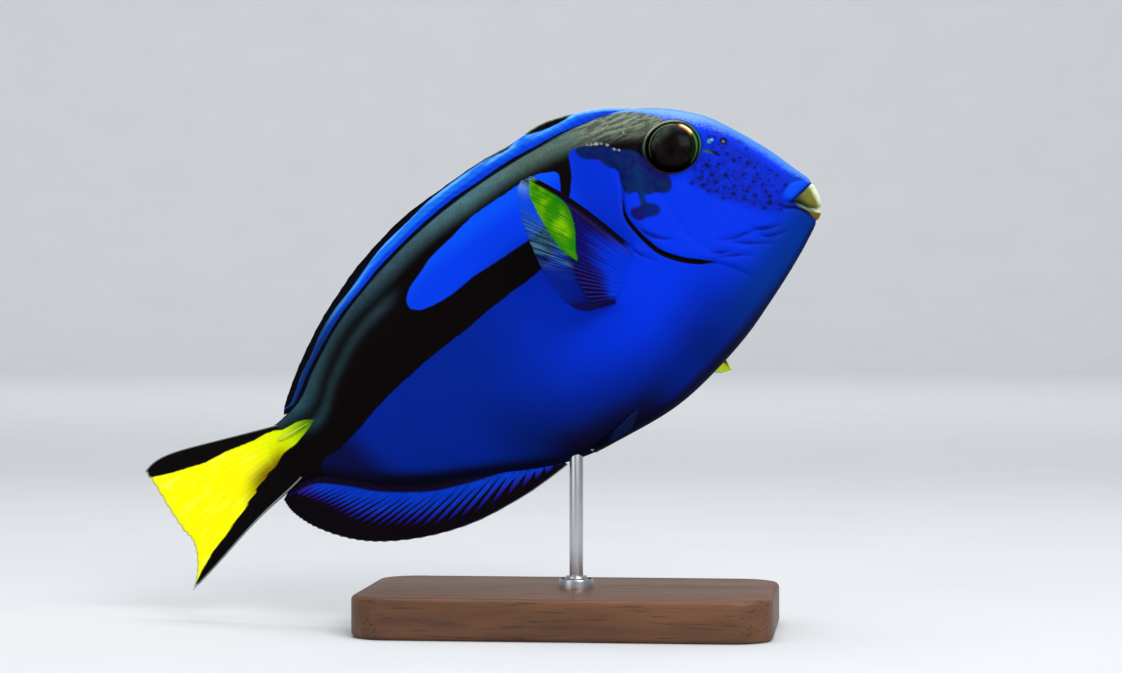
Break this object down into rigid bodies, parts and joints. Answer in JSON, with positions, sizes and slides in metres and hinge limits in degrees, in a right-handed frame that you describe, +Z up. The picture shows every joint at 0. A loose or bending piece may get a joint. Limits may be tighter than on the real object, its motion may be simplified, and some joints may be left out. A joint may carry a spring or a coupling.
{
  "type": "regal blue tang model on a display stand",
  "caption": "Life-size still model of a regal blue tang swimming nose up, with folded dorsal fin and spread pectoral fins, held by a rod on a flat wooden base.",
  "frame": {"origin": "on the table under the middle of the whole model's box", "axes": "+X the way the fish swims, +Y to its left, +Z up"},
  "size_m": [0.2034, 0.0772, 0.1519],
  "materials": {
    "skin": "painted royal blue with a black palette and fine scales",
    "lips": "painted pale olive over blue, softly glossy",
    "eye": "glossy black with a thin gold ring",
    "fin": "thin blue membrane with fine rays and a black margin",
    "tail_fin": "bright yellow membrane with fine rays and black edges",
    "tail_spine": "smooth horn stained yellow",
    "stand_wood": "oiled walnut, satin",
    "stand_steel": "brushed stainless steel"
  },
  "bodies": {
    "root": {"head": "skin", "upper_lip": "lips", "lower_lip": "lips", "gill_cover_right": "skin", "gill_cover_left": "skin", "eye_right": "eye", "eye_left": "eye", "trunk": "skin", "tail_stalk": "skin", "dorsal_fin": "fin", "anal_fin": "fin", "caudal_fin": "tail_fin", "pectoral_fin_right": "fin", "pectoral_fin_left": "fin", "pelvic_fin_right": "fin", "pelvic_fin_left": "fin", "tail_spine_right": "tail_spine", "tail_spine_left": "tail_spine", "stand_base": "stand_wood", "stand_rod": "stand_steel", "stand_ferrule": "stand_steel"}
  },
  "joints": []
}
